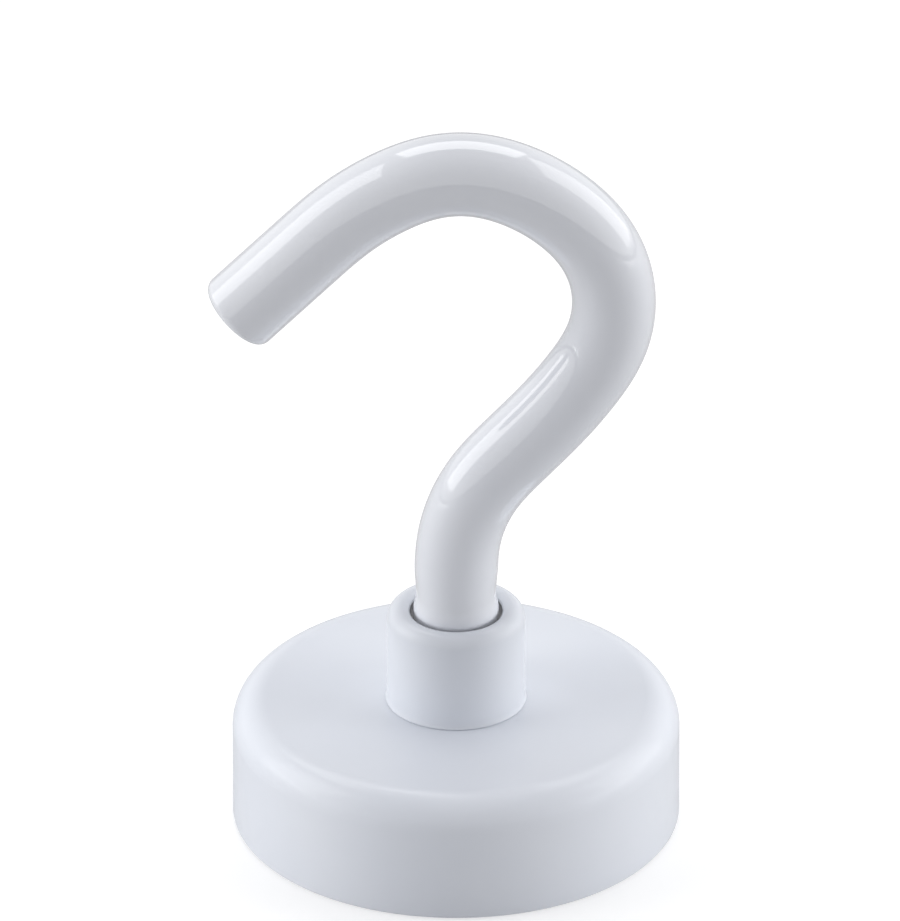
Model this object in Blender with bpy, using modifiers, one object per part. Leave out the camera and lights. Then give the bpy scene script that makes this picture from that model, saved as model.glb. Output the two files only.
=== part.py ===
"""Magnetic hook: a steel pot magnet with a threaded bush and a screw-in, plastic-coated open hook.

The part stands on its magnet face. The origin is the middle of that face and +Z runs up the
hook's shank. The hook is bent in the XZ plane and opens towards -X. Lengths are in metres.

Turning the hook about the shank unscrews it, so it turns and rises at once. The straight part
of the coat is round about that axis, so it stands for the rise alone, and the bent part of the
coat and the rod stand for the rise and the turn.
"""

import bpy
import bmesh
from math import ceil, cos, degrees, pi, radians, sin, tan
from mathutils import Vector

MM = 0.001

# Pot: the steel cup that holds the magnet and carries its field round to the rim.
POT_RADIUS = 12.5 * MM
POT_HEIGHT = 7.25 * MM
POT_WALL = 1.6 * MM
POT_PLATE = 2.0 * MM
POT_TOP_ROUND = 1.8 * MM
POT_RIM_ROUND = 0.25 * MM
POT_CORNER_FILLET = 0.4 * MM

# Magnet: a plated disc, glued under the plate and potted round its side.
POTTING_WIDTH = 0.8 * MM
MAGNET_CHAMFER = 0.2 * MM
GLUE_THICKNESS = 0.3 * MM
GLUE_SET_BACK = 0.4 * MM
POTTING_RECESS = 0.2 * MM

# Bush: turned steel, riveted through the plate, threaded for the hook.
BUSH_RISE = 5.75 * MM
BUSH_LIP_WIDTH = 1.28 * MM
BUSH_LIP_ROUND = 0.75 * MM
BUSH_DISH_DEPTH = 0.22 * MM
BUSH_FLARE = 0.08 * MM
BUSH_FLARE_HEIGHT = 0.4 * MM
MOUTH_DEPTH = 1.05 * MM
MOUTH_GAP = 0.2 * MM
ENTRY_MARGIN = 0.1 * MM
SPIGOT_WALL = 0.75 * MM
RIVET_SPREAD = 0.5 * MM

# Thread: a 4 mm rod with the coarse 0.7 mm pitch, cut right-handed.
THREAD_PITCH = 0.7 * MM
THREAD_CREST_CLEARANCE = 0.05 * MM
THREAD_FLANK_CLEARANCE = 0.05 * MM
THREAD_OVERRUN = 0.04 * MM
ROD_END_GAP = 0.5 * MM
ROD_END_CHAMFER = 0.5 * MM

# Standard thread form, as shares of the pitch.
CREST_FLAT_share = 1 / 8
ROOT_FLAT_share = 1 / 4
NUT_GROOVE_share = 7 / 8
NUT_OVERRUN_share = 19 / 20
FLANK_ANGLE = radians(30)

# Hook rod: round wire. One bend leans the neck over. Five bends that run into each other make
# the bow: its entry, its side, its shoulder, its crown and its exit. The tip is straight.
ROD_RADIUS = 2.0 * MM
SHANK_RISE = 2.8 * MM
NECK_BEND_RADIUS = 9.25 * MM
NECK_LEAN = radians(42.5)
NECK_STRAIGHT = 3.25 * MM
ENTRY_RADIUS = 27.0 * MM
ENTRY_SWEEP = radians(11)
SIDE_RADIUS = 7.15 * MM
SIDE_SWEEP = radians(74.5)
SHOULDER_RADIUS = 10.6 * MM
SHOULDER_SWEEP = radians(29.5)
CROWN_RADIUS = 6.8 * MM
CROWN_SWEEP = radians(40.5)
EXIT_RADIUS = 15.0 * MM
EXIT_SWEEP = radians(22.5)
TIP_STRAIGHT = 7.2 * MM

# Coat: a soft, glossy skin over all of the hook but its thread.
COAT_THICKNESS = 0.28 * MM
COAT_TIP_THICKNESS = 0.4 * MM
COAT_TIP_ROUND = 0.5 * MM
COAT_FOOT_FLARE = 0.07 * MM
COAT_FOOT_HEIGHT = 0.9 * MM
COAT_FOOT_TAPER = 0.45 * MM
COAT_THINNING = 0.09 * MM
COAT_PART_LINE_DROP = 0.3 * MM

# Fits between pieces that are glued, riveted, dipped or seated on each other.
FIT_GAP = 0.05 * MM
CUT_OVERRUN = 1.0 * MM

# Facets.
POT_STEPS = 64
BUSH_STEPS = 40
FLARE_STEPS = 4
THREAD_STEPS = 20
THREAD_TURN_IN = radians(4.5)
ROD_SIDES = 20
ARC_STEP = radians(8)
ROUND_STEP = radians(22.5)
MERGE = 0.001 * MM

# Heights and radii that follow from the sizes above.
PLATE_UNDERSIDE = POT_HEIGHT - POT_PLATE
POT_BORE = POT_RADIUS - POT_WALL
MAGNET_RADIUS = POT_BORE - POTTING_WIDTH - FIT_GAP * 2
BUSH_TOP = POT_HEIGHT + BUSH_RISE
MOUTH_FLOOR = BUSH_TOP - MOUTH_DEPTH
COAT_RADIUS = ROD_RADIUS + FIT_GAP + COAT_THICKNESS
FOOT_RADIUS = COAT_RADIUS + COAT_FOOT_FLARE
MOUTH_RADIUS = FOOT_RADIUS + MOUTH_GAP
BUSH_RADIUS = MOUTH_RADIUS + BUSH_LIP_WIDTH
NECK_START = BUSH_TOP + SHANK_RISE
COAT_PART_LINE = NECK_START - COAT_PART_LINE_DROP
ROD_END = PLATE_UNDERSIDE + ROD_END_GAP
NUT_MAJOR_RADIUS = ROD_RADIUS + THREAD_CREST_CLEARANCE
SPIGOT_RADIUS = NUT_MAJOR_RADIUS + SPIGOT_WALL

PARTS = "magnetic_hook"
CUTTERS = "magnetic_hook_cutters"


def clear_scene():
    """Remove what the file holds and make one collection for pieces and one for cutters."""
    for item in list(bpy.data.objects):
        bpy.data.objects.remove(item, do_unlink=True)
    for name in (PARTS, CUTTERS):
        old = bpy.data.collections.get(name)
        if old:
            bpy.data.collections.remove(old)
        bpy.context.scene.collection.children.link(bpy.data.collections.new(name))


def make_material(name, colour, roughness, metallic):
    """A Principled material with the piece's colour, roughness and metallic value."""
    material = bpy.data.materials.new(name)
    material.use_nodes = True
    shader = material.node_tree.nodes["Principled BSDF"]
    shader.inputs["Base Color"].default_value = (*colour, 1)
    shader.inputs["Roughness"].default_value = roughness
    shader.inputs["Metallic"].default_value = metallic
    material.diffuse_color = (*colour, 1)
    return material


def add_object(name, mesh, material):
    """Put a mesh in the part's collection under the node's name."""
    piece = bpy.data.objects.new(name, mesh)
    bpy.data.collections[PARTS].objects.link(piece)
    mesh.materials.append(material)
    return piece


def arc(centre, radius, start, end, step):
    """Points (r, z) on a round edge, from the start angle to the end angle."""
    count = max(2, ceil(abs(end - start) / step))
    return [
        (
            centre[0] + radius * cos(start + (end - start) * i / count),
            centre[1] + radius * sin(start + (end - start) * i / count),
        )
        for i in range(count + 1)
    ]


def turned(name, profile, steps, material, closed):
    """Turn a profile of (r, z) points about Z. It runs down its outer side, top to bottom."""
    count = len(profile)
    edges = [(i, i + 1) for i in range(count - 1)]
    if closed:
        edges.append((count - 1, 0))
    mesh = bpy.data.meshes.new(name)
    mesh.from_pydata([(r, 0, z) for r, z in profile], edges, [])
    piece = add_object(name, mesh, material)
    screw = piece.modifiers.new("turn", "SCREW")
    screw.axis = "Z"
    screw.steps = steps
    screw.render_steps = steps
    screw.use_merge_vertices = True
    screw.merge_threshold = MERGE
    return piece


def tube(name, points, radii, material):
    """A round bar along points, with a radius for each point, as a mesh with welded caps."""
    curve = bpy.data.curves.new(name, "CURVE")
    curve.dimensions = "3D"
    curve.bevel_depth = radii[0]
    curve.bevel_resolution = (ROD_SIDES - 4) // 2
    curve.use_fill_caps = True
    spline = curve.splines.new("POLY")
    spline.points.add(len(points) - 1)
    for slot, point, radius in zip(spline.points, points, radii):
        slot.co = (*point, 1)
        slot.radius = radius / radii[0]
    wire = bpy.data.objects.new(name + "_curve", curve)
    bpy.data.collections[PARTS].objects.link(wire)
    evaluated = wire.evaluated_get(bpy.context.evaluated_depsgraph_get())
    mesh = bpy.data.meshes.new_from_object(evaluated)
    mesh.name = name
    mesh.materials.clear()
    shape = bmesh.new()
    shape.from_mesh(mesh)
    bmesh.ops.remove_doubles(shape, verts=shape.verts, dist=MERGE)
    bmesh.ops.recalc_face_normals(shape, faces=shape.faces)
    shape.to_mesh(mesh)
    shape.free()
    piece = add_object(name, mesh, material)
    piece.matrix_world = wire.matrix_world
    bpy.data.objects.remove(wire, do_unlink=True)
    bpy.data.curves.remove(curve)
    return piece


def helix(name, profile, start, turns, material):
    """Carry a closed (r, z) profile up a right-hand helix of the thread's pitch.

    The helix crosses the XZ plane at the start height. Its first section lies a little further
    round, so that its facets don't line up with those of the piece that it cuts.
    """
    steps = round(turns * THREAD_STEPS)
    lift = start + THREAD_PITCH * THREAD_TURN_IN / (2 * pi)
    across = Vector((cos(THREAD_TURN_IN), sin(THREAD_TURN_IN), 0))
    shape = bmesh.new()
    verts = [shape.verts.new(across * r + Vector((0, 0, lift + z))) for r, z in profile]
    face = shape.faces.new(verts)
    bmesh.ops.spin(
        shape,
        geom=[face, *face.edges, *face.verts],
        axis=(0, 0, 1),
        cent=(0, 0, 0),
        dvec=(0, 0, THREAD_PITCH / THREAD_STEPS),
        angle=2 * pi * steps / THREAD_STEPS,
        steps=steps,
    )
    bmesh.ops.recalc_face_normals(shape, faces=shape.faces)
    mesh = bpy.data.meshes.new(name)
    shape.to_mesh(mesh)
    shape.free()
    return add_object(name, mesh, material)


def as_cutter(piece):
    """Move a shape to the cutters, where it shows as a wire and isn't rendered."""
    bpy.data.collections[PARTS].objects.unlink(piece)
    bpy.data.collections[CUTTERS].objects.link(piece)
    piece.hide_render = True
    piece.display_type = "WIRE"
    return piece


def cut(piece, cutter):
    """Take the cutter's shape out of a piece, with a Boolean that stays on it."""
    boolean = piece.modifiers.new(cutter.name, "BOOLEAN")
    boolean.operation = "DIFFERENCE"
    boolean.solver = "EXACT"
    boolean.object = as_cutter(cutter)


def shade(piece):
    """Shade round walls smooth and keep the edges between faces sharp."""
    piece.data.shade_smooth()
    if piece.data.polygons:
        piece.data.set_sharp_from_angle(angle=ROUND_STEP * 1.5)


def hook_path(start, tip_setback):
    """Centreline of the hook from a height on the shank to a set-back from its tip.

    Straight up, a bend that leans the neck over, the straight neck, the bow's bends back over
    the shank, and the straight tip.
    """
    points = [Vector((0, 0, start)), Vector((0, 0, NECK_START))]
    heading = pi / 2
    runs = [
        (NECK_BEND_RADIUS, -NECK_LEAN, NECK_STRAIGHT),
        (ENTRY_RADIUS, ENTRY_SWEEP, 0),
        (SIDE_RADIUS, SIDE_SWEEP, 0),
        (SHOULDER_RADIUS, SHOULDER_SWEEP, 0),
        (CROWN_RADIUS, CROWN_SWEEP, 0),
        (EXIT_RADIUS, EXIT_SWEEP, TIP_STRAIGHT - tip_setback),
    ]
    for radius, sweep, straight in runs:
        across = heading + (pi / 2 if sweep > 0 else -pi / 2)
        centre = points[-1] + Vector((cos(across), 0, sin(across))) * radius
        count = ceil(abs(sweep) / ARC_STEP)
        for i in range(1, count + 1):
            angle = across - pi + sweep * i / count
            points.append(centre + Vector((cos(angle), 0, sin(angle))) * radius)
        heading += sweep
        if straight:
            points.append(points[-1] + Vector((cos(heading), 0, sin(heading))) * straight)
    return points


def make_pot(material):
    """The cup: a flat plate with a rounded edge, a wall down to the rim, and a riveting hole."""
    hole = SPIGOT_RADIUS + FIT_GAP
    profile = [(hole, POT_HEIGHT)]
    profile += arc(
        (POT_RADIUS - POT_TOP_ROUND, POT_HEIGHT - POT_TOP_ROUND), POT_TOP_ROUND, pi / 2, 0, ROUND_STEP / 2
    )
    profile += arc((POT_RADIUS - POT_RIM_ROUND, POT_RIM_ROUND), POT_RIM_ROUND, 0, -pi / 2, ROUND_STEP * 2)
    profile.append((POT_BORE, 0))
    profile += arc(
        (POT_BORE - POT_CORNER_FILLET, PLATE_UNDERSIDE - POT_CORNER_FILLET),
        POT_CORNER_FILLET, 0, pi / 2, ROUND_STEP * 2,
    )
    profile.append((hole + RIVET_SPREAD, PLATE_UNDERSIDE))
    profile.append((hole, PLATE_UNDERSIDE + RIVET_SPREAD))
    return turned("pot_shell", profile, POT_STEPS, material, closed=True)


def make_magnet(material):
    """The disc magnet, flush with the rim."""
    top = PLATE_UNDERSIDE - GLUE_THICKNESS - FIT_GAP * 2
    inner = MAGNET_RADIUS - MAGNET_CHAMFER
    profile = [
        (0, top), (inner, top), (MAGNET_RADIUS, top - MAGNET_CHAMFER),
        (MAGNET_RADIUS, MAGNET_CHAMFER), (inner, 0), (0, 0),
    ]
    return turned("magnet_disc", profile, POT_STEPS, material, closed=False)


def make_glue(material):
    """The film of glue between the plate and the magnet."""
    top = PLATE_UNDERSIDE - FIT_GAP
    radius = MAGNET_RADIUS - GLUE_SET_BACK
    profile = [(0, top), (radius, top), (radius, top - GLUE_THICKNESS), (0, top - GLUE_THICKNESS)]
    return turned("magnet_glue", profile, POT_STEPS, material, closed=False)


def make_potting(material):
    """The resin ring between the magnet and the wall, a little below the face."""
    top = PLATE_UNDERSIDE - POT_CORNER_FILLET - FIT_GAP
    outer = POT_BORE - FIT_GAP
    inner = MAGNET_RADIUS + FIT_GAP
    profile = [(outer, top), (outer, POTTING_RECESS), (inner, POTTING_RECESS), (inner, top)]
    return turned("potting_ring", profile, POT_STEPS, material, closed=True)


def nut_radius(groove_width):
    """Radius at which the nut thread's groove is that wide along the axis."""
    narrow = THREAD_PITCH * CREST_FLAT_share + THREAD_FLANK_CLEARANCE * 2
    return NUT_MAJOR_RADIUS - (groove_width - narrow) / (2 * tan(FLANK_ANGLE))


def make_bush(material):
    """The bush: a dished, rounded mouth, a wall that flares at its foot, a riveted spigot and a
    through thread."""
    seat = POT_HEIGHT + FIT_GAP
    bore = nut_radius(THREAD_PITCH * NUT_GROOVE_share)
    entry = NUT_MAJOR_RADIUS + ENTRY_MARGIN
    profile = [(MOUTH_RADIUS, BUSH_TOP - BUSH_DISH_DEPTH)]
    profile += arc(
        (BUSH_RADIUS - BUSH_LIP_ROUND, BUSH_TOP - BUSH_LIP_ROUND), BUSH_LIP_ROUND, pi / 2, 0, ROUND_STEP
    )
    for i in range(FLARE_STEPS + 1):
        drop = i / FLARE_STEPS
        profile.append((BUSH_RADIUS + BUSH_FLARE * drop**2, seat + BUSH_FLARE_HEIGHT * (1 - drop)))
    profile += [
        (SPIGOT_RADIUS, seat),
        (SPIGOT_RADIUS, PLATE_UNDERSIDE + RIVET_SPREAD),
        (SPIGOT_RADIUS + RIVET_SPREAD, PLATE_UNDERSIDE),
        (bore, PLATE_UNDERSIDE),
        (bore, MOUTH_FLOOR - (entry - bore)),
        (entry, MOUTH_FLOOR),
        (MOUTH_RADIUS, MOUTH_FLOOR),
    ]
    bush = turned("threaded_bush", profile, BUSH_STEPS, material, closed=True)
    inner = nut_radius(THREAD_PITCH * NUT_OVERRUN_share)
    crest = THREAD_PITCH * CREST_FLAT_share / 2 + THREAD_FLANK_CLEARANCE
    flare = THREAD_PITCH * NUT_OVERRUN_share / 2
    groove = [(inner, -flare), (NUT_MAJOR_RADIUS, -crest), (NUT_MAJOR_RADIUS, crest), (inner, flare)]
    lead = ceil(ROD_END_GAP / THREAD_PITCH) + 1
    turns = ceil((MOUTH_FLOOR - ROD_END) / THREAD_PITCH) + lead + 1
    cut(bush, helix("bush_thread_cutter", groove, ROD_END - lead * THREAD_PITCH, turns, material))
    return bush


def make_rod(material):
    """The bent rod, with the thread's groove cut into its lower end."""
    path = hook_path(ROD_END, COAT_TIP_THICKNESS + FIT_GAP)
    path.insert(1, Vector((0, 0, ROD_END + ROD_END_CHAMFER)))
    radii = [ROD_RADIUS - ROD_END_CHAMFER] + [ROD_RADIUS] * (len(path) - 1)
    rod = tube("hook_rod", path, radii, material)
    outer = ROD_RADIUS + THREAD_OVERRUN
    ridge = THREAD_PITCH * (1 - CREST_FLAT_share) / 2
    root = THREAD_PITCH * ROOT_FLAT_share / 2
    depth = (ridge - root) / tan(FLANK_ANGLE)
    reach = ridge + THREAD_OVERRUN * tan(FLANK_ANGLE)
    groove = [
        (ROD_RADIUS - depth, -root), (outer, -reach), (outer, reach), (ROD_RADIUS - depth, root),
    ]
    start = ROD_END - THREAD_PITCH / 2
    turns = (MOUTH_FLOOR - ROD_END) / THREAD_PITCH + 1
    cut(rod, helix("rod_thread_cutter", groove, start, turns, material))
    return rod


def make_hook_coat(material):
    """The coat on the bends and the tip, closed over the tip, with a rounded edge there."""
    path = hook_path(COAT_PART_LINE, 0)
    radii = [COAT_RADIUS] * len(path)
    along = (path[-1] - path[-2]).normalized()
    end = path.pop()
    radii.pop()
    for back, inward in arc((COAT_TIP_ROUND, COAT_TIP_ROUND), COAT_TIP_ROUND, -pi / 2, -pi, ROUND_STEP):
        path.append(end - along * back)
        radii.append(COAT_RADIUS - inward)
    coat = tube("hook_coat", path, radii, material)
    bore = hook_path(COAT_PART_LINE - CUT_OVERRUN, COAT_TIP_THICKNESS)
    cut(coat, tube("coat_bore_cutter", bore, [ROD_RADIUS + FIT_GAP] * len(bore), material))
    return coat


def make_shank_coat(material):
    """The coat on the straight shank, with a thicker foot that sits in the bush's mouth."""
    top = COAT_PART_LINE - FIT_GAP
    bottom = MOUTH_FLOOR + FIT_GAP
    bore = ROD_RADIUS + FIT_GAP
    waist = bottom + COAT_FOOT_HEIGHT + COAT_FOOT_TAPER
    profile = [
        (COAT_RADIUS, top),
        (COAT_RADIUS - COAT_THINNING, waist),
        (FOOT_RADIUS, bottom + COAT_FOOT_HEIGHT),
        (FOOT_RADIUS, bottom),
        (bore, bottom),
        (bore, top),
    ]
    return turned("shank_coat", profile, ROD_SIDES, material, closed=True)


def make_axis(name, parent):
    """An empty on the screw's axis, at the bush's mouth, that carries a moving body."""
    empty = bpy.data.objects.new(name, None)
    bpy.data.collections[PARTS].objects.link(empty)
    empty.empty_display_size = BUSH_RADIUS
    empty.location = (0, 0, 0) if parent else (0, 0, BUSH_TOP)
    empty.parent = parent
    return empty


def carry(axis, pieces):
    """Parent pieces to an axis and leave them where they are."""
    for piece in pieces:
        piece.parent = axis
        piece.matrix_parent_inverse = axis.matrix_world.inverted()


def main():
    clear_scene()
    powder = make_material("white_powder_coat", (0.80, 0.82, 0.84), 0.45, 0.0)
    dip = make_material("gloss_white_dip", (0.82, 0.83, 0.85), 0.12, 0.0)
    steel = make_material("bright_steel", (0.62, 0.62, 0.63), 0.30, 1.0)
    nickel = make_material("nickel_plate", (0.70, 0.68, 0.64), 0.22, 1.0)
    resin = make_material("potting_resin", (0.86, 0.85, 0.80), 0.35, 0.0)
    glue = make_material("clear_glue", (0.75, 0.70, 0.55), 0.30, 0.0)
    make_pot(powder)
    make_bush(powder)
    make_magnet(nickel)
    make_glue(glue)
    make_potting(resin)
    shank = make_shank_coat(dip)
    rod = make_rod(steel)
    coat = make_hook_coat(dip)
    for piece in bpy.data.collections[PARTS].objects:
        shade(piece)
    rise = make_axis("hook_rise_axis", None)
    turn = make_axis("hook_turn_axis", rise)
    bpy.context.view_layer.update()
    cutters = bpy.data.collections[CUTTERS].objects
    carry(rise, [shank])
    carry(turn, [rod, coat, cutters["rod_thread_cutter"], cutters["coat_bore_cutter"]])
    bow = ENTRY_SWEEP + SIDE_SWEEP + SHOULDER_SWEEP + CROWN_SWEEP + EXIT_SWEEP
    print("hook centreline bends", round(degrees(NECK_LEAN), 1), "and", round(degrees(bow), 1), "degrees")


main()
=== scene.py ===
# %% [markdown]
# # A magnetic hook, dressed
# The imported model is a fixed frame: eight solids at their real size and place, in three bodies.
# This script puts the fine surfaces round that frame. Each step first says what the piece is on
# the real hook, then how it could be made, and why it is made this way.

# %% Load the frame
from math import cos, pi, radians, sin, tan

import bpy
import numpy as np
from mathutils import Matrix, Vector


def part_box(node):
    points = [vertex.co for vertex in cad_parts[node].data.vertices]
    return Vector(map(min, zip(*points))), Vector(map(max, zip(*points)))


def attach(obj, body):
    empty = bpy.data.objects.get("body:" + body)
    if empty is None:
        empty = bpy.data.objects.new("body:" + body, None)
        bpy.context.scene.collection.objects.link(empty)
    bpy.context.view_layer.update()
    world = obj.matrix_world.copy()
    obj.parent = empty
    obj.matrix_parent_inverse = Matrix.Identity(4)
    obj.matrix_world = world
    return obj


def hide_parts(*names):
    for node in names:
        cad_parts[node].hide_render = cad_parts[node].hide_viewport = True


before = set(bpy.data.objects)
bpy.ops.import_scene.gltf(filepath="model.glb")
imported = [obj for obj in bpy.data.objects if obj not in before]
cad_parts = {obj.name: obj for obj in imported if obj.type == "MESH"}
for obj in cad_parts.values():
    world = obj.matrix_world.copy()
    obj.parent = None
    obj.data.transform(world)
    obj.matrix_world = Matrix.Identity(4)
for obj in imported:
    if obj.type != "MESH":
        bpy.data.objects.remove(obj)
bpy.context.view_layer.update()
MM = 0.001


# %% [markdown]
# ## Sizes
# Every size that a solid already has is read from the frame, so a surface can't drift away from
# what it dresses. Only what a box can't tell, such as a fillet or a bend, is written down here.

# %% Read the sizes that the frame fixes
_, pot_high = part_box("pot_shell")
bush_low, bush_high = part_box("threaded_bush")
_, magnet_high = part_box("magnet_disc")
_, glue_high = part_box("magnet_glue")
potting_low, potting_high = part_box("potting_ring")
rod_low, rod_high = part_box("hook_rod")
shank_low, shank_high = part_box("shank_coat")
_, coat_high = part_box("hook_coat")

POT_RADIUS = pot_high.x
POT_TOP = pot_high.z
PLATE_UNDERSIDE = bush_low.z
BUSH_FOOT_RADIUS = bush_high.x
BUSH_TOP = bush_high.z
MAGNET_RADIUS = magnet_high.x
MAGNET_TOP = magnet_high.z
COAT_RADIUS = coat_high.y
FOOT_RADIUS = shank_high.y
COAT_FOOT = shank_low.z
ROD_RADIUS = rod_high.y
ROD_END = rod_low.z
FIT_GAP = PLATE_UNDERSIDE - glue_high.z
MOUTH_FLOOR = COAT_FOOT - FIT_GAP
print("pot", round(2 * POT_RADIUS / MM, 2), "mm across, bush top at", round(BUSH_TOP / MM, 2), "mm")

# %% [markdown]
# ## A skin over rings
# The pot, the bush, the magnet and the bent hook are all rings in a row: rings round one axis for
# a turned piece, rings along a line for a wire. A primitive would have to be cut and bevelled,
# and a modifier stack hides its shape. One array of ring points shows the whole form at once, and
# numpy can work out every point with one formula.

# %% Join rings into a closed mesh
def skin(name, rings, loop=False):
    """Mesh over rings[i, j], point j of ring i.

    Each ring closes on itself and is joined to the next by quads. A loop joins the last ring to
    the first. Otherwise a fan closes each end round the middle of its ring. The faces are turned
    to give the solid a positive volume, which is a sixth of the sum of a . (b x c).
    """
    count, around, _ = rings.shape
    index = np.arange(count * around).reshape(count, around)
    near = index if loop else index[:-1]
    far = np.roll(index, -1, axis=0) if loop else index[1:]
    quads = np.stack([near, far, np.roll(far, -1, 1), np.roll(near, -1, 1)], -1).reshape(-1, 4)
    points = rings.reshape(-1, 3)
    fans = np.zeros((0, 3), int)
    if not loop:
        middles = np.stack([rings[0].mean(0), rings[-1].mean(0)])
        first = np.stack([np.full(around, len(points)), index[0], np.roll(index[0], -1)], -1)
        last = np.stack([np.full(around, len(points) + 1), np.roll(index[-1], -1), index[-1]], -1)
        points = np.concatenate([points, middles])
        fans = np.concatenate([first, last])
    halves = np.concatenate([quads[:, [0, 1, 2]], quads[:, [0, 2, 3]], fans])
    a, b, c = (points[halves[:, k]] for k in range(3))
    volume = np.einsum("ij,ij->i", a, np.cross(b, c)).sum() / 6
    if volume < 0:
        quads = quads[:, ::-1]
        fans = fans[:, ::-1]
    mesh = bpy.data.meshes.new(name)
    mesh.from_pydata(points.tolist(), [], quads.tolist() + fans.tolist())
    mesh.shade_smooth()
    piece = bpy.data.objects.new(name, mesh)
    bpy.context.scene.collection.objects.link(piece)
    print(f"{name}: {len(quads) * 2 + len(fans)} triangles, {abs(volume) / MM**3:.1f} mm3")
    return piece


# %% Draw a section with rounded corners
ARC_POINTS = 10
HOLD = 0.06 * MM


def rounded_section(corners, closed=True):
    """Points (r, z) of a section, from corners (r, z, fillet radius).

    A fillet touches both sides of its corner at the distance radius / tan(half the corner's
    angle) and sweeps the angle that is left. A holding point just before and after each fillet
    keeps the flat beside it flat when the shading is smoothed.
    """
    spots = np.array([c[:2] for c in corners])
    section = []
    for i, (r, z, radius) in enumerate(corners):
        here = np.array([r, z])
        if radius == 0 or (not closed and i in (0, len(corners) - 1)):
            section.append(here)
            continue
        back = spots[i - 1] - here
        on = spots[(i + 1) % len(spots)] - here
        back_length, on_length = np.linalg.norm(back), np.linalg.norm(on)
        back, on = back / back_length, on / on_length
        half = np.arccos(np.clip(back @ on, -1, 1)) / 2
        reach = radius / tan(half)
        middle = here + (back + on) / np.linalg.norm(back + on) * radius / sin(half)
        start, end = here + back * reach - middle, here + on * reach - middle
        sweep = pi - 2 * half
        t = np.linspace(0, 1, ARC_POINTS + 1)[:, None]
        arc = middle + (start * np.sin((1 - t) * sweep) + end * np.sin(t * sweep)) / sin(sweep)
        if back_length > reach + HOLD * 2:
            section.append(arc[0] + back * HOLD)
        section.extend(arc)
        if on_length > reach + HOLD * 2:
            section.append(arc[-1] + on * HOLD)
    return np.array(section)


def turn(section, around):
    """Rings of a turned piece: each (r, z) of its section becomes r cos a, r sin a, z."""
    angle = np.linspace(0, 2 * pi, around, endpoint=False)
    r, z = section[:, :1], section[:, 1:2]
    return np.stack([r * np.cos(angle), r * np.sin(angle), z + 0 * angle], -1)


# %% [markdown]
# ## The pot
# The pot is a steel cup, pressed or turned, with a broad round on its upper edge and a small one
# on its rim. The coat of powder softens its corners, so even the inner ones get a radius. Only
# the chamfer under the plate stays crisp, where the rivet fills it.

# %% Turn the pot
POT_WALL = 1.6 * MM
POT_TOP_ROUND = 1.8 * MM
POT_RIM_ROUND = 0.25 * MM
POT_CORNER_FILLET = 0.4 * MM
POT_INNER_ROUND = 0.12 * MM
SPIGOT_RADIUS = 2.8 * MM
RIVET_SPREAD = 0.5 * MM
POT_AROUND = 256

bore = POT_RADIUS - POT_WALL
hole = SPIGOT_RADIUS + FIT_GAP
pot_section = rounded_section([
    (hole, POT_TOP, POT_INNER_ROUND),
    (POT_RADIUS, POT_TOP, POT_TOP_ROUND),
    (POT_RADIUS, 0, POT_RIM_ROUND),
    (bore, 0, POT_INNER_ROUND),
    (bore, PLATE_UNDERSIDE, POT_CORNER_FILLET),
    (hole + RIVET_SPREAD, PLATE_UNDERSIDE, 0),
    (hole, PLATE_UNDERSIDE + RIVET_SPREAD, 0),
])
pot = skin("pot_coated_shell", turn(pot_section, POT_AROUND), loop=True)
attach(pot, "base")
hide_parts("pot_shell")

# %% [markdown]
# ## The thread
# A thread could be a Screw modifier, but its ends stay open and it has to be cut into the piece.
# Here it is a wave in the radius instead: the axial distance to the nearest crest, turned into a
# depth by the slope of the flanks. Rod and bush use the same formula, so they stay in mesh.

# %% Thread depth as a function of height and angle
THREAD_PITCH = 0.7 * MM
CREST_FLAT_SHARE = 1 / 8
THREAD_DEPTH_SHARE = 0.6134
THREAD_CLEARANCE = 0.05 * MM
FLANK_ANGLE = radians(30)
THREAD_ROWS_PER_PITCH = 24


def ease(t):
    """A smooth step: 0 below 0, 1 above 1, and 3t2 - 2t3 between."""
    t = np.clip(t, 0, 1)
    return t * t * (3 - 2 * t)


def thread_depth(z, angle, side):
    """Depth below the crest at height z and an angle about the axis.

    The crest climbs one pitch a turn from the rod's end. Past half the crest's flat, the depth
    grows by the axial distance over the tangent of the flank angle, up to the full depth. The
    flat is wider by side in both directions, which gives the bush its clearance.
    """
    turns = (z - ROD_END) / THREAD_PITCH - angle / (2 * pi)
    apart = np.abs(turns - np.round(turns)) * THREAD_PITCH
    flat = THREAD_PITCH * CREST_FLAT_SHARE / 2 + side
    return np.clip((apart - flat) / tan(FLANK_ANGLE), 0, THREAD_PITCH * THREAD_DEPTH_SHARE)


# %% [markdown]
# ## The bush
# The bush is turned from bar: a soft lip that sinks to the mouth, a straight wall that flares a
# little at its foot, a step where the hook's foot stands, the thread, and a spigot riveted over
# under the plate. Lip and flare are drawn as curves of their own, because a row of fillets would
# leave a crease on the crest.

# %% Draw the bush's lip and wall
BUSH_LIP_ROUND = 0.75 * MM
BUSH_DISH_DEPTH = 0.22 * MM
BUSH_FLARE = 0.09 * MM
BUSH_FLARE_HEIGHT = 0.5 * MM
MOUTH_GAP = 0.2 * MM
MOUTH_EDGE = 0.02 * MM
MOUTH_EDGE_SHAPE = np.array([(0, -2), (0.3, -0.7), (0.7, -0.3), (2, 0)])
LIP_POINTS = 16

seat = POT_TOP + FIT_GAP
mouth = FOOT_RADIUS + MOUTH_GAP
mouth_top = BUSH_TOP - BUSH_DISH_DEPTH
wall = BUSH_FOOT_RADIUS - BUSH_FLARE
crest = wall - BUSH_LIP_ROUND


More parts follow.
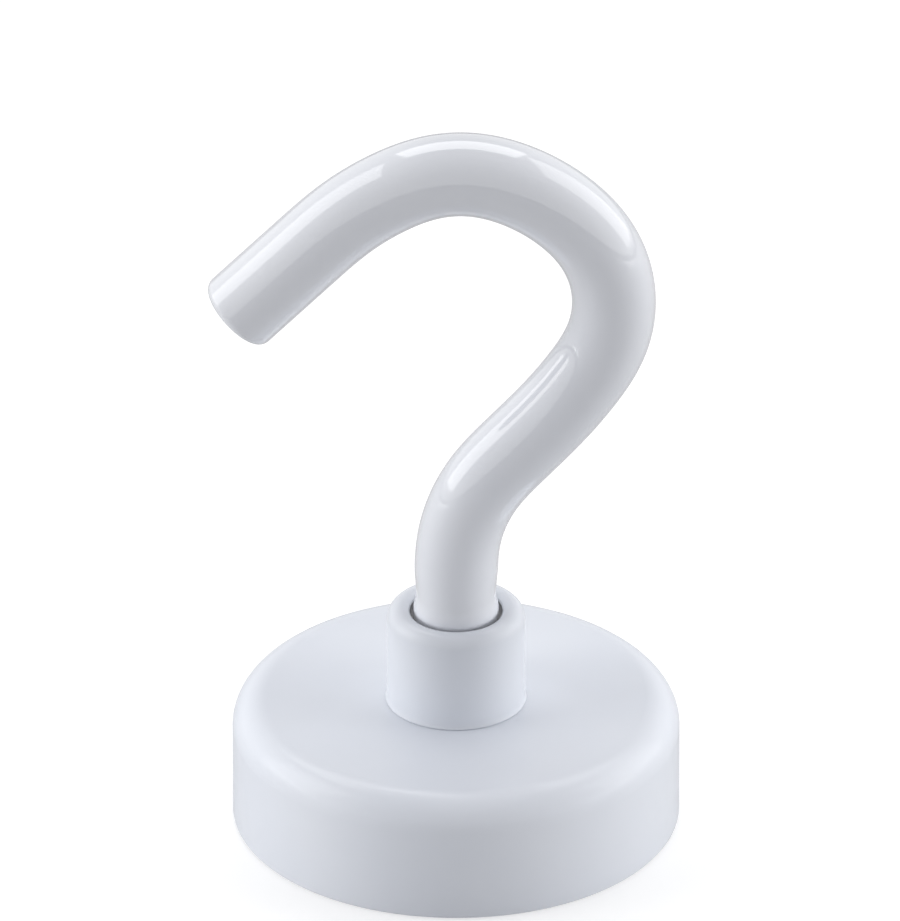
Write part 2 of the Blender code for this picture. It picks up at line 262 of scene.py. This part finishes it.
def lip_and_wall():
    """Section of the bush above its seat, from the mouth's edge over the lip to the foot.

    The lip sinks to the mouth by depth u2, where u is 0 at the crest and 1 at the edge. Outside
    the crest it is a quarter circle. The foot flares out by flare v4, where v is 1 at the seat.
    The mouth's edge is broken by a small round, whose shape is in units of its size.
    """
    u = np.linspace(1, 0, LIP_POINTS)[1:-1]
    v = np.linspace(0, 1, LIP_POINTS)
    quarter = np.linspace(0, pi / 2, LIP_POINTS)
    sink = np.stack([crest - (crest - mouth) * u, BUSH_TOP - BUSH_DISH_DEPTH * u**2], -1)
    edge = MOUTH_EDGE_SHAPE * MOUTH_EDGE + [mouth, mouth_top]
    lip = np.stack([np.sin(quarter), np.cos(quarter) - 1], -1) * BUSH_LIP_ROUND + [crest, BUSH_TOP]
    flare = np.stack([wall + BUSH_FLARE * v**4, seat + BUSH_FLARE_HEIGHT * (1 - v)], -1)
    return np.concatenate([edge, sink, lip, flare])


print("mouth", round(2 * mouth / MM, 2), "mm, crest", round(2 * crest / MM, 2), "mm across")

# %% [markdown]
# The bore could be a plain hole with a thread drawn on it as bump, but the crests of the rod would
# cut into its wall. So its radius depends on the angle as well. The groove is narrow at its bottom
# and opens to most of a pitch at the bore, which sets the bore's size. The thread is cut after the
# bush is coated: the mouth's wall and floor and the bore are bare, and take the second finish. That
# darker steel is also there to deepen the thin shaded gap round the hook's foot, so the gap's
# darkness is partly painted shade.

# %% Turn the bush and cut its thread
GROOVE_OPENING_SHARE = 7 / 8
ENTRY_MARGIN = 0.1 * MM
BUSH_AROUND = 160

major = ROD_RADIUS + THREAD_CLEARANCE
narrow = THREAD_PITCH * CREST_FLAT_SHARE + 2 * THREAD_CLEARANCE
nut_bore = major - (THREAD_PITCH * GROOVE_OPENING_SHARE - narrow) / (2 * tan(FLANK_ANGLE))
entry = major + ENTRY_MARGIN
under = np.array([
    (SPIGOT_RADIUS, seat),
    (SPIGOT_RADIUS, PLATE_UNDERSIDE + RIVET_SPREAD),
    (SPIGOT_RADIUS + RIVET_SPREAD, PLATE_UNDERSIDE),
    (nut_bore, PLATE_UNDERSIDE),
])
bush_outer = np.concatenate([[[mouth, MOUTH_FLOOR]], lip_and_wall(), under])
bore_top = MOUTH_FLOOR - (entry - nut_bore)
bore_rows = int((bore_top - PLATE_UNDERSIDE) / THREAD_PITCH * THREAD_ROWS_PER_PITCH)
bore_z = np.linspace(PLATE_UNDERSIDE, bore_top, bore_rows)[1:, None]
bush_angle = np.linspace(0, 2 * pi, BUSH_AROUND, endpoint=False)[None, :]
cut = major - thread_depth(bore_z, bush_angle, THREAD_CLEARANCE)
bore_r = np.maximum(cut, nut_bore)
bore_rings = np.stack(
    [bore_r * np.cos(bush_angle), bore_r * np.sin(bush_angle), bore_z + 0 * bush_angle], -1
)
entry_rings = turn(np.array([[entry, MOUTH_FLOOR]]), BUSH_AROUND)
bush_rings = np.concatenate([turn(bush_outer, BUSH_AROUND), bore_rings, entry_rings])
bush = skin("bush_coated", bush_rings, loop=True)
ring = np.arange(len(bush_rings))
# Bare steel in the mouth and bore, which also darkens the shaded gap round the coat's foot: partly
# painted shade.
bare_mouth_shade_mask = (ring == 0) | (ring >= len(bush_outer) - 1)
bush.data.polygons.foreach_set("material_index", np.repeat(bare_mouth_shade_mask, BUSH_AROUND).astype(np.int32))
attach(bush, "base")
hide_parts("threaded_bush")

# %% [markdown]
# ## Under the pot
# The magnet is a plated disc with a small edge round, level with the rim. The resin round it was
# poured and has shrunk: its face is hollow between the two walls that it wets.

# %% Turn the magnet and pour the resin
MAGNET_ROUND = 0.25 * MM
RESIN_HOLLOW = 0.12 * MM
RESIN_POINTS = 24

face_ring = MAGNET_RADIUS / 2
magnet_section = rounded_section([
    (face_ring, MAGNET_TOP, 0),
    (MAGNET_RADIUS, MAGNET_TOP, MAGNET_ROUND),
    (MAGNET_RADIUS, 0, MAGNET_ROUND),
    (face_ring, 0, 0),
], closed=False)
magnet = skin("magnet_plated_disc", turn(magnet_section, POT_AROUND))
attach(magnet, "base")
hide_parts("magnet_disc")

resin_outer, resin_inner = potting_high.x, MAGNET_RADIUS + FIT_GAP
across = np.linspace(-1, 1, RESIN_POINTS)
resin_face = potting_low.z + RESIN_HOLLOW * (1 - across**2)
resin_r = (resin_outer + resin_inner) / 2 - across * (resin_outer - resin_inner) / 2
resin_section = np.concatenate([
    [[resin_inner, potting_high.z], [resin_outer, potting_high.z]],
    np.stack([resin_r, resin_face], -1),
])
resin = skin("potting_poured_ring", turn(resin_section, POT_AROUND), loop=True)
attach(resin, "base")
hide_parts("potting_ring")

# %% [markdown]
# ## The hook's line
# The wire stands straight, leans over in one bend, runs straight for a moment and comes back over
# the shank in a bow that is tightest at its side and its crown. A curve object could follow it,
# but the thread and the coat would then need tricks of their own. Here the line is worked out from
# its heading. That changes at a steady rate in a bend and not at all in a straight, and the place
# is the running sum of the heading's steps. Wire springs a little, so each change is eased.

# %% List the straights and bends
SHANK_RISE = 2.8 * MM
NECK_BEND_RADIUS = 9.25 * MM
NECK_LEAN = radians(42.5)
NECK_STRAIGHT = 3.25 * MM
ENTRY_RADIUS = 27.0 * MM
ENTRY_SWEEP = radians(11)
SIDE_RADIUS = 7.15 * MM
SIDE_SWEEP = radians(74.5)
SHOULDER_RADIUS = 10.6 * MM
SHOULDER_SWEEP = radians(29.5)
CROWN_RADIUS = 6.8 * MM
CROWN_SWEEP = radians(40.5)
EXIT_RADIUS = 15.0 * MM
EXIT_SWEEP = radians(22.5)
TIP_STRAIGHT = 7.2 * MM

NECK_START = BUSH_TOP + SHANK_RISE
# Each run has a length and the angle that it turns by.
runs = np.array([
    (NECK_START - ROD_END, 0),
    (NECK_BEND_RADIUS * NECK_LEAN, -NECK_LEAN),
    (NECK_STRAIGHT, 0),
    (ENTRY_RADIUS * ENTRY_SWEEP, ENTRY_SWEEP),
    (SIDE_RADIUS * SIDE_SWEEP, SIDE_SWEEP),
    (SHOULDER_RADIUS * SHOULDER_SWEEP, SHOULDER_SWEEP),
    (CROWN_RADIUS * CROWN_SWEEP, CROWN_SWEEP),
    (EXIT_RADIUS * EXIT_SWEEP, EXIT_SWEEP),
    (TIP_STRAIGHT, 0),
])
knots, turned_so_far = np.concatenate([[[0, 0]], np.cumsum(runs, axis=0)]).T
LINE_LENGTH = knots[-1]
print("hook line", round(LINE_LENGTH / MM, 2), "mm long in", len(runs), "runs")

# %% Add up the hook's line
EASE_SHARE = 1 / 40
LINE_STEPS = 4000

line_s = np.linspace(0, LINE_LENGTH, LINE_STEPS)
eased_steps = int(LINE_STEPS * EASE_SHARE)
raw_heading = pi / 2 + np.interp(line_s, knots, turned_so_far)
padded = np.pad(raw_heading, (eased_steps, eased_steps - 1), mode="edge")
line_heading = np.convolve(padded, np.ones(eased_steps * 2) / (eased_steps * 2), mode="valid")
half_way = (line_heading[1:] + line_heading[:-1]) / 2
line_x = np.concatenate([[0], np.cumsum(np.cos(half_way) * np.diff(line_s))])
line_z = ROD_END + np.concatenate([[0], np.cumsum(np.sin(half_way) * np.diff(line_s))])
print("top of the line at", round(line_z.max() / MM, 2), "mm")


# %% Put rings round the line
def along_hook(s, radius, around):
    """Rings round the hook's line at lengths s from the rod's end.

    The ring at s is the line's point plus radius times (across cos a + Y sin a), where across is
    the line's normal in its own plane. radius may change with s and with the angle.
    """
    angle = np.linspace(0, 2 * pi, around, endpoint=False)[None, :]
    heading = np.interp(s, line_s, line_heading)[:, None]
    x = np.interp(s, line_s, line_x)[:, None]
    z = np.interp(s, line_s, line_z)[:, None]
    side = radius * np.cos(angle)
    return np.stack(
        [x + side * np.sin(heading), radius * np.sin(angle), z - side * np.cos(heading)], -1
    )


# %% [markdown]
# ## The rod
# The rod is drawn steel with a cut thread on its lower end, which is chamfered. The thread fades
# out where the coat begins. It is only seen when the hook is screwed up out of its bush, but it is
# there at every pose.

# %% Sweep the rod and its thread
ROD_END_CHAMFER = 0.5 * MM
THREAD_RUN_OUT = 0.5 * MM
COAT_TIP_THICKNESS = 0.4 * MM
ROD_AROUND = 96
BENT_ROWS = 110

thread_length = MOUTH_FLOOR - ROD_END + THREAD_RUN_OUT
thread_rows = int(thread_length / THREAD_PITCH * THREAD_ROWS_PER_PITCH)
threaded_s = np.linspace(0, thread_length, thread_rows)
rod_s = np.concatenate([
    threaded_s,
    np.linspace(thread_length, LINE_LENGTH - COAT_TIP_THICKNESS - FIT_GAP, BENT_ROWS)[1:],
])
rod_angle = np.linspace(0, 2 * pi, ROD_AROUND, endpoint=False)[None, :]
rod_s_column = rod_s[:, None]
run_out = ease((thread_length - rod_s_column) / THREAD_RUN_OUT)
depth = thread_depth(ROD_END + rod_s_column, rod_angle, 0) * run_out
chamfered = ROD_RADIUS - np.clip(ROD_END_CHAMFER - rod_s_column, 0, None)
rod_radius = np.minimum(ROD_RADIUS - depth, chamfered)
rod = skin("rod_threaded_bent", along_hook(rod_s, rod_radius, ROD_AROUND))
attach(rod, "hook")
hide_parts("hook_rod")

# %% [markdown]
# ## The coat
# The whole hook above its thread was dipped, so the coat is one skin: a little thicker at the
# foot and tucked in below the bush's lip, thinned on the shank just above it, even along the
# bends, and blunt with a crisp round at the tip. The frame splits it in two for the screw motion.
# Here it is one piece again, outer and inner wall in one row of rings, and it rides on the hook.

# %% Thickness of the coat
COAT_FOOT_HEIGHT = 0.85 * MM
COAT_FOOT_TAPER = 1.1 * MM
COAT_FOOT_TUCK = 0.16 * MM
COAT_THINNING = 0.09 * MM

foot_s = COAT_FOOT - ROD_END
waist_s = foot_s + COAT_FOOT_HEIGHT + COAT_FOOT_TAPER
neck_s = NECK_START - ROD_END


def coat_radius(s):
    """Outer radius of the coat: an eased foot, a thinned waist, then full thickness.

    Below the bush's lip the foot is tucked in again by tuck (1 - sqrt(1 - d2)), a quarter of an
    ellipse, where d goes from 0 at the lip to 1 at the coat's edge.
    """
    full = COAT_RADIUS - COAT_THINNING * (1 - ease((s - waist_s) / (neck_s - waist_s)))
    foot = ease((waist_s - s) / COAT_FOOT_TAPER)
    below = np.clip((foot_s + COAT_FOOT_HEIGHT - s) / COAT_FOOT_HEIGHT, 0, 1)
    tucked = COAT_FOOT_TUCK * (1 - np.sqrt(1 - below**2))
    return full + (FOOT_RADIUS - full) * foot - tucked


print("coat thinnest at", round((waist_s + ROD_END) / MM, 2), "mm above the magnet's face")

# %% Sweep the coat
COAT_FOOT_ROUND = 0.1 * MM
COAT_TIP_ROUND = 0.5 * MM
END_CENTRE_SHARE = 0.2
COAT_AROUND = 128
COAT_ROWS = 400
FOOT_ROWS = 40
ROUND_ROWS = 12
END_ROWS = 6

quarter = np.linspace(0, pi / 2, ROUND_ROWS)
foot_edge = (
    foot_s + COAT_FOOT_ROUND * (1 - np.sin(quarter)),
    FOOT_RADIUS - COAT_FOOT_TUCK - COAT_FOOT_ROUND * (1 - np.cos(quarter)),
)
wall_s = np.concatenate([
    np.linspace(foot_s + COAT_FOOT_ROUND, waist_s, FOOT_ROWS, endpoint=False),
    np.linspace(waist_s, LINE_LENGTH - COAT_TIP_ROUND, COAT_ROWS),
])
tip_edge = (
    LINE_LENGTH - COAT_TIP_ROUND * (1 - np.sin(quarter)),
    COAT_RADIUS - COAT_TIP_ROUND * (1 - np.cos(quarter)),
)
end_disc = np.linspace(1, END_CENTRE_SHARE, END_ROWS)[1:] * tip_edge[1][-1]
inner_radius = ROD_RADIUS + FIT_GAP
inner_end = LINE_LENGTH - COAT_TIP_THICKNESS
coat_s = np.concatenate([
    [inner_end],
    np.linspace(inner_end, foot_s, BENT_ROWS),
    foot_edge[0][::-1],
    wall_s[1:-1],
    tip_edge[0],
    np.full(len(end_disc), LINE_LENGTH),
])
coat_r = np.concatenate([
    [inner_radius / 2],
    np.full(BENT_ROWS, inner_radius),
    foot_edge[1][::-1],
    coat_radius(wall_s[1:-1]),
    tip_edge[1],
    end_disc,
])
coat = skin("coat_dipped_hook", along_hook(coat_s, coat_r[:, None], COAT_AROUND))
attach(coat, "hook")
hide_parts("hook_coat", "shank_coat")

# %% [markdown]
# ## Materials
# The hook is white on white, so its look lives in the small things: how sharp a highlight is, the
# orange peel of the powder, a few pinholes in the dip. Each of these effects is a node group with
# its own inputs. The groups put out only values, and the shader stays in the material.

# %% Small tools for node trees
def add_node(tree, kind, inputs=None, **settings):
    """A node of that kind, with its settings, and a value or a link on each input named."""
    node = tree.nodes.new(kind)
    for key, value in settings.items():
        setattr(node, key, value)
    for key, value in (inputs or {}).items():
        if isinstance(value, bpy.types.NodeSocket):
            tree.links.new(value, node.inputs[key])
        else:
            node.inputs[key].default_value = value
    return node


def calculate(tree, operation, first, second):
    """The result of a Math node over two values."""
    return add_node(tree, "ShaderNodeMath", {0: first, 1: second}, operation=operation).outputs[0]


def soft_noise(tree, place, scale, detail):
    """Noise about a half that changes over some 1 / scale metres. Detail adds finer waves."""
    inputs = {"Vector": place, "Scale": scale, "Detail": detail}
    return add_node(tree, "ShaderNodeTexNoise", inputs).outputs["Fac"]


# %% Start a group and use it
def new_group(name, inputs, output):
    """An empty shader group with float inputs and one float output."""
    tree = bpy.data.node_groups.new(name, "ShaderNodeTree")
    for label, value in inputs.items():
        socket = tree.interface.new_socket(label, in_out="INPUT", socket_type="NodeSocketFloat")
        socket.default_value = value
    tree.interface.new_socket(output, in_out="OUTPUT", socket_type="NodeSocketFloat")
    source = tree.nodes.new("NodeGroupInput").outputs
    sink = tree.nodes.new("NodeGroupOutput").inputs
    place = tree.nodes.new("ShaderNodeTexCoord").outputs["Object"]
    return tree, source, sink, place


def use_group(tree, group, **inputs):
    """Place a group in a material and give its output."""
    node = tree.nodes.new("ShaderNodeGroup")
    node.node_tree = group
    for key, value in inputs.items():
        node.inputs[key].default_value = value
    return node.outputs[0]


# %% [markdown]
# Four groups do the work. Mottle is soft noise between two values, for a colour or a roughness
# that is never quite even. Peel is the height of a sprayed or dipped surface: broad waves with a
# finer grain on them.

# %% Mottle and peel
NOISE_LOW = 0.3
NOISE_HIGH = 0.7
GRAIN_FINER = 5.0

mottle, source, sink, place = new_group("mottle", {"Scale": 200, "Low": 0, "High": 1}, "Value")
spread = add_node(mottle, "ShaderNodeMapRange", {
    "Value": soft_noise(mottle, place, source["Scale"], detail=3),
    "From Min": NOISE_LOW,
    "From Max": NOISE_HIGH,
    "To Min": source["Low"],
    "To Max": source["High"],
})
mottle.links.new(spread.outputs["Result"], sink["Value"])

peel, source, sink, place = new_group("peel", {"Scale": 1500, "Grain": 0.3}, "Height")
waves = soft_noise(peel, place, source["Scale"], detail=1)
finer = calculate(peel, "MULTIPLY", source["Scale"], GRAIN_FINER)
grain = soft_noise(peel, place, finer, detail=2)
share = calculate(peel, "MULTIPLY", grain, source["Grain"])
peel.links.new(calculate(peel, "ADD", waves, share), sink["Height"])
print("mottle has", len(mottle.nodes), "nodes, peel", len(peel.nodes))

# %% [markdown]
# Specks is a mask of rare round spots, one in some of the cells of a grid, drawn by lot with the
# cell's own random colour. Scratches is the height of a scored plate: noise drawn out into long
# thin streaks along a few headings, of which the lowest counts wherever they cross.

# %% Specks and scratches
SCRATCH_SIZE = (0.04 * MM, 15 * MM, 15 * MM)
SCRATCH_SHIFT = (17 * MM, 23 * MM, 6 * MM)
SCRATCH_HEADINGS = (radians(12), radians(-31), radians(67), radians(-78))

spot_inputs = {"Scale": 300, "Size": 0.03, "Share": 0.05}
specks, source, sink, place = new_group("specks", spot_inputs, "Mask")
grid = add_node(specks, "ShaderNodeTexVoronoi", {"Vector": place, "Scale": source["Scale"]})
spot = calculate(specks, "LESS_THAN", grid.outputs["Distance"], source["Size"])
lot = add_node(specks, "ShaderNodeSeparateColor", {"Color": grid.outputs["Color"]}).outputs["Red"]
drawn = calculate(specks, "LESS_THAN", lot, source["Share"])
specks.links.new(calculate(specks, "MULTIPLY", spot, drawn), sink["Mask"])

scratches, source, sink, place = new_group("scratches", {"Shallow": 0.66, "Deep": 0.80}, "Height")


def streaks(heading):
    """Height of long streaks along one heading: 1 on the plate, 0 at the bottom of a scratch."""
    drawn_out = add_node(scratches, "ShaderNodeMapping", {
        "Vector": place,
        "Location": SCRATCH_SHIFT,
        "Rotation": (0, 0, heading),
        "Scale": SCRATCH_SIZE,
    }, vector_type="TEXTURE")
    return add_node(scratches, "ShaderNodeMapRange", {
        "Value": soft_noise(scratches, drawn_out.outputs[0], scale=1, detail=1),
        "From Min": source["Shallow"],
        "From Max": source["Deep"],
        "To Min": 1,
        "To Max": 0,
    }).outputs["Result"]


height = streaks(SCRATCH_HEADINGS[0])
for heading in SCRATCH_HEADINGS[1:]:
    height = calculate(scratches, "MINIMUM", height, streaks(heading))
scratches.links.new(height, sink["Height"])
print("shared effects:", [group.name for group in bpy.data.node_groups])

# %% [markdown]
# Every finish is made by the same three links to the Principled shader: a colour and a roughness
# that wander between two near values, and a height. They could be drawn node by node each time,
# but with one function for them a finish reads as a short list of its values.

# %% Start a material
def start_material(name, **sockets):
    """A Principled material. Values that are the same all over are set on its own sockets."""
    material = bpy.data.materials.new(name)
    material.use_nodes = True
    shader = material.node_tree.nodes["Principled BSDF"].inputs
    for key, value in sockets.items():
        shader[key.replace("_", " ")].default_value = value
    return material, material.node_tree


# %% Blend two colours
MIX_MASK = 0
MIX_FIRST = 6
MIX_SECOND = 7
MIX_COLOUR = 2


def blend(tree, mask, first, second):
    """A colour that goes from first to second as the mask goes from 0 to 1."""
    inputs = {MIX_MASK: mask, MIX_FIRST: first, MIX_SECOND: second}
    return add_node(tree, "ShaderNodeMix", inputs, data_type="RGBA").outputs[MIX_COLOUR]


def mottled(tree, first, second, scale):
    """A colour that wanders softly between two near shades."""
    return blend(tree, use_group(tree, mottle, Scale=scale), first, second)


# %% Link colour, roughness and height
def set_finish(tree, colour, roughness, height=None, depth=0):
    """Link colour and roughness to the shader, and a height whose full range is depth metres."""
    shader = tree.nodes["Principled BSDF"].inputs
    tree.links.new(colour, shader["Base Color"])
    tree.links.new(roughness, shader["Roughness"])
    if height is not None:
        relief = add_node(tree, "ShaderNodeBump", {"Height": height, "Distance": depth})
        tree.links.new(relief.outputs["Normal"], shader["Normal"])


# %% [markdown]
# Powder coat is sprayed dry and baked: satin, with a fine orange peel and a cool white. One even
# white would look like paper, so two near shades of it are mixed. The bush gets a darker copy of
# the same coat, which is painted shade that dims its sides.

# %% White powder coat
def powder_coat(name, first, second):
    """Satin powder coat that wanders between two near shades of white."""
    material, tree = start_material(name, Metallic=0.0, IOR=1.5)
    set_finish(
        tree,
        colour=mottled(tree, first, second, scale=90),
        roughness=use_group(tree, mottle, Scale=700, Low=0.22, High=0.265),
        height=use_group(tree, peel, Scale=1400, Grain=0.25),
        depth=0.004 * MM,
    )
    return material


powder = powder_coat("white_powder_coat", (0.810, 0.841, 0.900, 1), (0.836, 0.862, 0.911, 1))
# The bush's copy is mixed darker than the pot's: painted shade on its sides.
shaded_bush_coat = powder_coat("bush_coat_painted_shade", (0.730, 0.757, 0.808, 1), (0.752, 0.776, 0.820, 1))
print("powder coats:", powder.name, shaded_bush_coat.name)

# %% [markdown]
# The dip is soft plastic: almost mirror-smooth, with long lazy waves and a few pinholes. A clear
# coat over a slightly softer base gives it a sharp highlight with a faint glow round it.

# %% White dip
PINHOLE_SHADE = (0.20, 0.24, 0.32, 1)

dip, tree = start_material(
    "gloss_white_dip", Metallic=0.0, IOR=1.5, Coat_Weight=1.0, Coat_Roughness=0.03, Coat_IOR=1.6
)
white = mottled(tree, (0.780, 0.800, 0.845, 1), (0.810, 0.825, 0.860, 1), scale=60)
pinholes = use_group(tree, specks, Scale=260, Size=0.035, Share=0.06)
set_finish(
    tree,
    colour=blend(tree, pinholes, white, PINHOLE_SHADE),
    roughness=use_group(tree, mottle, Scale=400, Low=0.08, High=0.12),
    height=use_group(tree, peel, Scale=260, Grain=0.02),
    depth=0.004 * MM,
)
print("dip:", dip.name)

# %% [markdown]
# The metals and the resin are seen only from below, or when the hook is screwed out. The magnet's
# nickel plate has fine scratches from steel that it was pulled off, both in its shade and in its
# height. The rod has the fine grain of drawn steel.

# %% Nickel and steel
SCRATCH_SHADE = (0.50, 0.48, 0.45, 1)

nickel, tree = start_material("nickel_plate", Metallic=1.0)
plate = mottled(tree, (0.66, 0.63, 0.58, 1), (0.73, 0.70, 0.65, 1), scale=150)
scored = use_group(tree, scratches)
set_finish(
    tree,
    colour=blend(tree, scored, SCRATCH_SHADE, plate),
    roughness=use_group(tree, mottle, Scale=900, Low=0.14, High=0.25),
    height=scored,
    depth=0.002 * MM,
)

steel, tree = start_material("bright_steel", Metallic=1.0)
set_finish(
    tree,
    colour=mottled(tree, (0.52, 0.52, 0.53, 1), (0.64, 0.64, 0.65, 1), scale=500),
    roughness=use_group(tree, mottle, Scale=1500, Low=0.29, High=0.40),
    height=use_group(tree, peel, Scale=3000, Grain=0.5),
    depth=0.002 * MM,
)
print("metals:", nickel.name, steel.name)

# %% [markdown]
# The resin is poured cream-white and sets with a dull, slightly wavy face. The glue is a thin
# yellowish film between the magnet and the pot, and stays out of sight.

# %% Resin and glue
potted, tree = start_material("potting_resin", Metallic=0.0, IOR=1.55)
set_finish(
    tree,
    colour=mottled(tree, (0.80, 0.78, 0.71, 1), (0.86, 0.84, 0.78, 1), scale=220),
    roughness=use_group(tree, mottle, Scale=600, Low=0.30, High=0.42),
    height=use_group(tree, peel, Scale=900, Grain=0.2),
    depth=0.01 * MM,
)

glue, tree = start_material("clear_glue", Metallic=0.0, IOR=1.5)
set_finish(
    tree,
    colour=mottled(tree, (0.62, 0.56, 0.40, 1), (0.74, 0.68, 0.52, 1), scale=300),
    roughness=use_group(tree, mottle, Scale=800, Low=0.29, High=0.40),
)
print("resin and glue:", potted.name, glue.name)

# %% [markdown]
# A new piece has only the finish that is given to it here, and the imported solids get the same
# finishes, so that the model looks right whichever of the two is shown.

# %% Dress every piece
finishes = {pot: powder, bush: shaded_bush_coat, magnet: nickel, resin: potted, rod: steel, coat: dip}
for piece, material in finishes.items():
    piece.data.materials.append(material)
# The bush's second finish: bare steel in the mouth and bore, which also deepens the gap's shade as
# painted shade.
bush.data.materials.append(steel)

node_finishes = {
    "pot_shell": powder,
    # The imported bush gets the same darker copy, painted shade.
    "threaded_bush": shaded_bush_coat,
    "magnet_disc": nickel,
    "magnet_glue": glue,
    "potting_ring": potted,
    "hook_rod": steel,
    "hook_coat": dip,
    "shank_coat": dip,
}
for node, material in node_finishes.items():
    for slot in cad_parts[node].material_slots:
        slot.material = material
print(len(finishes), "new pieces and", len(node_finishes), "nodes have a finish")

# %% [markdown]
# ## Floor, light and camera
# The studio is a white one. The floor is a pale sheet that adds some white for the camera alone,
# so that it meets the white behind it and still keeps the shadow. It is clear from below, and
# light passes it where a surface all but touches it, so that the magnet's face is lit as well.

# %% Lay the floor
FLOOR_HALF = 3.0
FLOOR_DROP = 0.03 * MM

corners = np.array([(-1, -1), (1, -1), (1, 1), (-1, 1)]) * FLOOR_HALF
floor_points = np.column_stack([corners, np.full(len(corners), -FLOOR_DROP)])
floor_mesh = bpy.data.meshes.new("studio_floor")
floor_mesh.from_pydata(floor_points.tolist(), [], [(0, 1, 2, 3)])
floor = bpy.data.objects.new("studio_floor", floor_mesh)
bpy.context.scene.collection.objects.link(floor)
print("floor", 2 * FLOOR_HALF, "m wide")

# %% Paint the floor
FLOOR_SHADE = (0.56, 0.56, 0.56, 1)
FLOOR_ROUGHNESS = 0.6
WHITE = (1, 1, 1, 1)
CAMERA_LIFT = 0.54
CONTACT_REACH = 0.4 * MM

pale, tree = start_material(
    "pale_floor", Roughness=FLOOR_ROUGHNESS, Base_Color=FLOOR_SHADE, Emission_Color=WHITE
)
paint = tree.nodes["Principled BSDF"]
path = tree.nodes.new("ShaderNodeLightPath").outputs
lift = calculate(tree, "MULTIPLY", path["Is Camera Ray"], CAMERA_LIFT)
tree.links.new(lift, paint.inputs["Emission Strength"])
below = tree.nodes.new("ShaderNodeNewGeometry").outputs["Backfacing"]
touching = calculate(tree, "LESS_THAN", path["Ray Length"], CONTACT_REACH)
through = calculate(tree, "MAXIMUM", below, touching)
clear = tree.nodes.new("ShaderNodeBsdfTransparent").outputs["BSDF"]
sheet = add_node(tree, "ShaderNodeMixShader", {0: through, 1: paint.outputs["BSDF"], 2: clear})
tree.links.new(sheet.outputs[0], tree.nodes["Material Output"].inputs["Surface"])
floor_mesh.materials.append(pale)
print("floor painted", pale.name)

# %% [markdown]
# The world is plain white where it is seen or mirrored. As a light it is dimmer and a little blue,
# like the fill in a white room. The lamps do the rest: a tall softbox at each side, a wide one high
# behind, and a low panel at each flank that the gloss doesn't mirror. They could be placed by
# hand, but a table of angles round the hook shows at a glance where the light comes from.

# %% Light the world
WORLD_LEVEL = 0.30
WORLD_TINT = (0.98, 0.99, 1.06, 1)

world = bpy.data.worlds.new("white_studio")
bpy.context.scene.world = world
world.use_nodes = True
tree = world.node_tree
rays = tree.nodes.new("ShaderNodeLightPath").outputs
direct = calculate(tree, "MAXIMUM", rays["Is Camera Ray"], rays["Is Glossy Ray"])
seen = calculate(tree, "MAXIMUM", direct, rays["Is Transmission Ray"])
level = add_node(tree, "ShaderNodeMapRange", {"Value": seen, "To Min": WORLD_LEVEL, "To Max": 1})
background = tree.nodes["Background"].inputs
tree.links.new(blend(tree, seen, WORLD_TINT, WHITE), background["Color"])
tree.links.new(level.outputs["Result"], background["Strength"])
print("world lights at", WORLD_LEVEL)

# %% Place the lamps
LAMP_DISTANCE = 0.60
# name, azimuth and elevation in degrees, width and height in metres, brightness, mirrored
LAMPS = (
    ("left_softbox", -94, 29, 0.390, 0.530, 1.4, True),
    ("right_softbox", 105, 29, 0.440, 0.530, 1.15, True),
    ("back_softbox", 180, 63, 0.620, 0.320, 1.95, True),
    ("low_left_panel", -79, 8, 0.300, 0.147, 11.0, False),
    ("low_right_panel", 79, 8, 0.300, 0.147, 11.0, False),
)


def place_lamp(name, azimuth, elevation, width, height, brightness, mirrored):
    """A rectangular lamp facing the hook. Azimuth 0 is the camera's side and turns to +X.

    A lamp of area A that is b times as bright as white paper in full light gives b pi A watts.
    """
    lamp = bpy.data.lights.new(name, "AREA")
    lamp.shape = "RECTANGLE"
    lamp.size = width
    lamp.size_y = height
    lamp.energy = brightness * pi * width * height
    box = bpy.data.objects.new(name, lamp)
    bpy.context.scene.collection.objects.link(box)
    out = cos(elevation)
    away = Vector((sin(azimuth) * out, -cos(azimuth) * out, sin(elevation)))
    box.location = Vector((0, 0, BUSH_TOP)) + away * LAMP_DISTANCE
    box.rotation_euler = (-away).to_track_quat("-Z", "Y").to_euler()
    box.visible_glossy = mirrored


for name, azimuth, elevation, *look in LAMPS:
    place_lamp(name, radians(azimuth), radians(elevation), *look)
print(len(LAMPS), "lamps at", LAMP_DISTANCE, "m")

# %% [markdown]
# The picture is taken from well above the horizon through a long lens. The focal length follows
# from the number of pixels that one millimetre takes up at the point that the camera aims at.

# %% Place the camera
PIXELS_PER_MM = 17.956
PIXELS_HIGH = 921
SENSOR_MM = 36.0
CAMERA_DISTANCE = 1.8
CAMERA_ELEVATION = radians(28.97)
NEAREST_SEEN = 0.01
FARTHEST_SEEN = 20.0
AIM = Vector((-0.34 * MM, 0, 22.31 * MM))

lens = bpy.data.cameras.new("photo_camera")
lens.sensor_width = SENSOR_MM
lens.lens = PIXELS_PER_MM / MM * CAMERA_DISTANCE * SENSOR_MM / PIXELS_HIGH
lens.clip_start = NEAREST_SEEN
lens.clip_end = FARTHEST_SEEN
camera = bpy.data.objects.new("photo_camera", lens)
bpy.context.scene.collection.objects.link(camera)
back = Vector((0, -cos(CAMERA_ELEVATION), sin(CAMERA_ELEVATION)))
camera.location = AIM + back * CAMERA_DISTANCE
camera.rotation_euler = (-back).to_track_quat("-Z", "Y").to_euler()
bpy.context.scene.camera = camera
bpy.context.scene.view_settings.view_transform = "Standard"
print("lens", round(lens.lens), "mm at", CAMERA_DISTANCE, "m")
